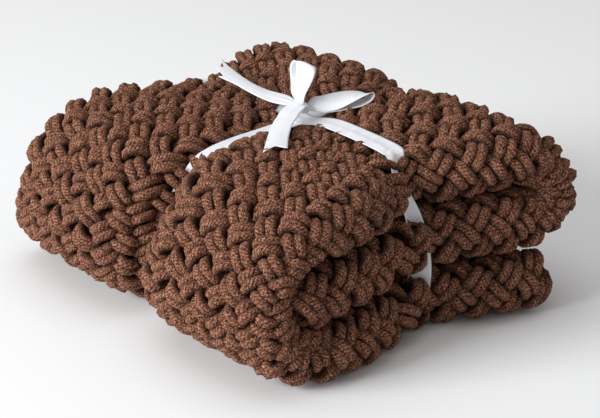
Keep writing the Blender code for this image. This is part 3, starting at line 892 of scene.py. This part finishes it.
def band(row):
    """One band round the bundle as a closed thin loop, and its length."""
    along_x = row["axis"] == "x"
    outline = band_outline_x if along_x else band_outline_y
    place = TIE_Y if along_x else TIE_X
    centre, places = walk(outline(row["out"]), BAND_STEPS)
    outer, _ = walk(outline(row["out"] + 0.002), BAND_STEPS)
    outward = (outer - centre) / np.linalg.norm(outer - centre, axis=1)[:, None]
    lift, shift = 0, 0
    for bend, reach, power, bend_lift, bend_shift in row["bends"]:
        share = np.exp(-((((centre - bend) / reach) ** 2).sum(1) ** power))
        lift = lift + share * bend_lift
        shift = shift + share * bend_shift
    centre = centre + outward * lift[:, None]
    across = np.linspace(-1, 1, BAND_FACES + 1)
    slow, quick = RIPPLE_LENGTHS
    ripple = 0.6 + 0.4 * np.sin(2 * pi * places / slow) * np.sin(2 * pi * places / quick + 1)
    beside_ridge = (across - RIDGE_PLACE) / RIDGE_HALF_WIDTH
    ridge = row["ridge"] * ripple[:, None] * np.exp(-(beside_ridge ** 2))
    wave = WAVE_HEIGHT * np.sin(2 * pi * places / WAVE_LENGTH)[:, None] * (1 - abs(across))
    loops = []
    for face in (1, -1):
        height = (ridge + wave + face * RIBBON_THICK / 2)[..., None]
        flat = centre[:, None] + outward[:, None] * height
        beside = place + across[None, :] * RIBBON_WIDTH / 2 + shift[:, None]
        if along_x:
            loops.append(tied(flat[..., 0], beside, flat[..., 1], 0))
        else:
            loops.append(tied(beside, flat[..., 0], flat[..., 1], 0))
    points = np.stack(loops)
    points[:, -1] = points[:, 0]
    points[..., 2] = np.maximum(points[..., 2], FLOOR_GAP)
    length = np.linalg.norm(np.diff(points[0, :, BAND_FACES // 2], axis=0), axis=1).sum()
    points = points[:, :-1]
    rows, columns = points.shape[1:3]
    upper, lower = np.arange(2 * rows * columns).reshape(2, rows, columns)
    after_up, after_low = np.roll(upper, -1, axis=0), np.roll(lower, -1, axis=0)
    faces = [
        np.stack([upper[:, :-1], upper[:, 1:], after_up[:, 1:], after_up[:, :-1]], -1),
        np.stack([lower[:, :-1], after_low[:, :-1], after_low[:, 1:], lower[:, 1:]], -1),
    ]
    rims = [
        np.stack([upper[:, 0], after_up[:, 0], after_low[:, 0], lower[:, 0]], -1),
        np.stack([upper[:, -1], lower[:, -1], after_low[:, -1], after_up[:, -1]], -1),
    ]
    faces = np.concatenate([each.reshape(-1, 4) for each in faces + rims])
    return mesh_piece(row["name"], points, faces.tolist(), satin_material), length


for row in BANDS:
    piece, length = band(row)
    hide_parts(row["name"])


# The bow
# The same ribbon's two loops and two free ends, from a small tight knot on the crossing. The front
# end starts over the knot and falls forward; both ends are cut to points.

BOW_STEPS = 60
BOW_FACES = 12
GATHER_HEIGHT, GATHER_REACH = 0.0006, 1.6

# Points along each run's two edges, in millimetres, how far its middle bellies out, and how many
# points its end is cut to.
BOW_COLUMNS = ("name", "first_edge", "second_edge", "belly", "points_cut", "held")
BOW = (
    dict(zip(BOW_COLUMNS, (
        "ribbon_loop_up",
        (
            (19.9, -2.4, 171.0), (22.0, 9.9, 179.0), (24.7, 14.3, 186.0), (24.3, 14.8, 193.3),
            (24.1, 15.5, 201.1), (24.7, 14.8, 206.0), (25.6, 13.1, 209.0), (27.6, 12.0, 209.6),
            (28.2, 10.2, 207.6), (26.2, 7.5, 203.6), (24.6, 5.2, 197.6), (22.4, 3.3, 190.7),
            (20.5, 1.7, 182.6), (20.2, -3.8, 171.8),
        ),
        (
            (22.2, -7.4, 172.3), (26.1, -5.6, 179.6), (31.8, -4.4, 186.3), (38.7, -1.8, 192.3),
            (42.5, -0.6, 196.8), (42.7, -1.6, 200.4), (41.2, -3.0, 203.0), (37.5, -6.2, 205.0),
            (34.9, -9.5, 204.4), (31.4, -13.4, 201.2), (26.3, -16.4, 197.0), (21.6, -16.6, 190.8),
            (18.9, -14.4, 183.1), (21.1, -9.6, 173.1),
        ),
        0.0012, 0, "folded",
    ))),
    dict(zip(BOW_COLUMNS, (
        "ribbon_loop_right",
        (
            (26.0, -7.5, 171.0), (31.2, -7.2, 175.1), (35.5, -8.1, 177.0), (42.2, -11.1, 177.9),
            (52.5, -15.1, 179.5), (64.4, -19.0, 180.0), (72.0, -22.4, 179.4), (77.5, -24.2, 178.2),
            (81.0, -25.4, 176.4), (82.2, -26.2, 174.4), (81.4, -26.8, 172.6), (79.0, -26.8, 171.4),
            (74.0, -23.8, 170.9), (67.6, -19.9, 171.1), (56.6, -14.7, 170.4), (44.8, -11.4, 169.9),
            (28.7, -8.9, 169.0),
        ),
        (
            (23.6, -12.6, 169.3), (26.9, -17.3, 167.6), (30.6, -21.7, 167.3), (35.7, -27.3, 167.6),
            (43.6, -32.9, 169.4), (53.2, -37.5, 173.8), (63.2, -40.5, 178.2), (71.9, -42.5, 181.0),
            (76.7, -43.1, 182.4), (78.7, -43.9, 180.6), (77.6, -44.4, 177.4), (73.8, -44.2, 174.0),
            (64.9, -41.5, 170.3), (53.5, -37.1, 168.8), (43.6, -32.7, 167.6), (33.4, -25.5, 166.6),
            (25.1, -15.0, 167.6),
        ),
        0.0010, 0, "folded",
    ))),
    dict(zip(BOW_COLUMNS, (
        "ribbon_tail_back",
        (
            (20.8, -4.0, 171.5), (22.9, 13.0, 174.5), (20.5, 26.0, 175.0), (18.9, 43.0, 174.3),
            (17.8, 63.5, 175.4), (20.2, 83.2, 176.4), (26.2, 110.7, 177.5), (31.0, 128.0, 178.0),
            (38.6, 146.0, 177.6),
        ),
        (
            (17.7, -9.5, 170.5), (9.0, 4.0, 171.4), (3.6, 17.0, 171.8), (2.0, 34.0, 172.6),
            (2.0, 54.0, 174.0), (3.4, 76.0, 175.2), (3.5, 96.0, 175.8), (5.5, 113.0, 176.0),
            (10.0, 130.0, 175.4),
        ),
        0.0006, 3, "laid",
    ))),
    dict(zip(BOW_COLUMNS, (
        "ribbon_tail_front",
        (
            (24.6, -8.0, 173.6), (14.0, -3.4, 174.2), (3.6, -4.3, 172.6), (-5.1, -8.0, 170.9),
            (-14.1, -14.4, 168.7), (-24.0, -22.1, 167.7), (-40.7, -37.8, 165.8), (-57.9, -55.4, 163.2),
            (-71.7, -70.1, 162.4),
        ),
        (
            (22.8, -15.4, 171.6), (16.2, -19.5, 173.4), (8.8, -23.6, 172.6), (0.5, -29.3, 172.4),
            (-5.2, -34.2, 172.2), (-17.8, -43.1, 170.3), (-34.0, -58.9, 167.0), (-47.1, -74.4, 165.6),
            (-53.4, -82.3, 165.6),
        ),
        0.0008, 2, "laid",
    ))),
)

# How far short of the full length a cut end's outline stays, over its width, as shares of the length:
# one notch between two points, or two notches between three.
CUTS = {
    0: ((0, 1), (0, 0)),
    2: ((0, 0.5, 1), (0, 0.085, 0.02)),
    3: ((0, 0.30, 0.55, 0.80, 1), (0, 0.17, 0.02, 0.25, 0.20)),
}


def smooth_line(knots, place):
    """Points of a smooth curve through the knots, at places counted in knots."""
    knots = np.array(knots) / 1000
    padded = np.concatenate([2 * knots[:1] - knots[1:2], knots, 2 * knots[-1:] - knots[-2:-1]])
    first = np.minimum(place.astype(int), len(knots) - 2)
    part = (place - first)[..., None]
    before, start, end, after = (padded[first + step] for step in range(4))
    curve = 2 * start + (end - before) * part
    curve = curve + (2 * before - 5 * start + 4 * end - after) * part ** 2
    curve = curve + (3 * start - before - 3 * end + after) * part ** 3
    return curve / 2


def bow_run(row):
    """One run of the bow as a thin closed sheet between its two edges, and its length."""
    last = len(row["first_edge"]) - 1
    cut_places, cut_depths = CUTS[row["points_cut"]]

    def point_at(station, column, face):
        place = last * station * (1 - np.interp(column, cut_places, cut_depths))
        first = smooth_line(row["first_edge"], place)
        second = smooth_line(row["second_edge"], place)
        middle = first + (second - first) * column[..., None]
        along = np.gradient(middle, axis=0)
        normal = np.cross(along, second - first)
        normal = normal / np.maximum(np.linalg.norm(normal, axis=2), 1e-9)[..., None]
        gather = GATHER_HEIGHT * np.exp(-place / GATHER_REACH) * np.sin(5 * pi * column)
        belly = row["belly"] * np.sin(pi * column)
        return middle + normal * (belly + gather + face * RIBBON_THICK / 2)[..., None]

    points, faces = slab(BOW_STEPS + 1, BOW_FACES + 1, point_at)
    length = np.linalg.norm(np.diff(points[0, :, BOW_FACES // 2], axis=0), axis=1).sum()
    return mesh_piece(row["name"], points, faces, satin_material), length


KNOT_MIDDLE = np.array((0.0214, -0.0085, 0.1688))
KNOT_HALF = (0.0062, 0.0072, 0.0050)
KNOT_ROWS = 24
KNOT_SIDES = 40


def knot_points():
    """The knot: a rounded lump with the pleats of the ribbon drawn round its waist."""
    heights = np.linspace(-0.985, 0.985, KNOT_ROWS)
    turns = np.arange(KNOT_SIDES) * 2 * pi / KNOT_SIDES
    rise, turn = np.meshgrid(heights, turns, indexing="ij")
    reach = (1 - rise ** 2) ** 0.4
    pleat = 1 + 0.05 * np.sin(7 * rise + 2 * np.cos(turn)) - 0.10 * np.cos(2 * turn) ** 2
    return KNOT_MIDDLE + np.stack([
        KNOT_HALF[0] * reach * pleat * np.cos(turn),
        KNOT_HALF[1] * reach * pleat * np.sin(turn),
        KNOT_HALF[2] * rise,
    ], -1)


knot_rings = knot_points()
knot_marks = np.ones(knot_rings.shape[:2])
knot_shape, knot_faces, _ = tubes([(knot_rings, knot_marks, knot_marks)])
knot = mesh_piece("ribbon_knot", knot_shape, knot_faces, satin_material)
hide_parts("ribbon_knot")
for row in BOW:
    piece, length = bow_run(row)
    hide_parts(row["name"])


# The floor, light and camera
# A plain pale surface under soft studio light from the upper left, seen from the photo's viewpoint.

FLOOR_HALF = 6
FLOOR_TONE = (0.88, 0.885, 0.89, 1)
SKY_TONE = (1.0, 0.965, 0.95, 1)
SKY_STRENGTH = 0.41
LAMP_TONE = (0.96, 0.985, 1.0)
LIGHT_COLUMNS = ("name", "place", "size", "power")
LIGHTS = (
    dict(zip(LIGHT_COLUMNS, ("window", (-3.9, 0.6, 1.45), 2.2, 245))),
    dict(zip(LIGHT_COLUMNS, ("overhead", (-0.1, 0.5, 2.5), 2.6, 20))),
)
LIGHTS_AIM = Vector((0, 0, 0.05))

floor_mesh = bpy.data.meshes.new("floor")
floor_corners = [(FLOOR_HALF * x, FLOOR_HALF * y, 0) for x, y in ((-1, -1), (1, -1), (1, 1), (-1, 1))]
floor_mesh.from_pydata(floor_corners, [], [(0, 1, 2, 3)])
floor_finish = Finish("pale_floor", Roughness=0.9)
floor_mesh.materials.append(floor_finish.surface(Base_Color=FLOOR_TONE))
floor = bpy.data.objects.new("floor", floor_mesh)
bpy.context.collection.objects.link(floor)

world = bpy.data.worlds.new("studio")
world.use_nodes = True
sky = world.node_tree.nodes["Background"]
sky.inputs["Color"].default_value = SKY_TONE
sky.inputs["Strength"].default_value = SKY_STRENGTH
bpy.context.scene.world = world
bpy.context.scene.view_settings.view_transform = "Standard"

for row in LIGHTS:
    lamp = bpy.data.lights.new(row["name"], "AREA")
    lamp.energy = row["power"]
    lamp.color = LAMP_TONE
    lamp.size = row["size"]
    light = bpy.data.objects.new(row["name"], lamp)
    light.location = row["place"]
    light.rotation_euler = (LIGHTS_AIM - light.location).to_track_quat("-Z", "Y").to_euler()
    bpy.context.collection.objects.link(light)

AZIMUTH, ELEVATION, DISTANCE = radians(-37.20), radians(21.37), 1.741
TURNED_ROUND = Vector((0, 0, 0.07))
AIM = Vector((0.0153, -0.0116, 0.0700))
LENS_MM = 109.7
back = Vector((sin(AZIMUTH) * cos(ELEVATION), -cos(AZIMUTH) * cos(ELEVATION), sin(ELEVATION)))
lens = bpy.data.cameras.new("camera")
lens.lens = LENS_MM
camera = bpy.data.objects.new("camera", lens)
camera.location = TURNED_ROUND + back * DISTANCE
camera.rotation_euler = (AIM - camera.location).to_track_quat("-Z", "Y").to_euler()
bpy.context.collection.objects.link(camera)
bpy.context.scene.camera = camera
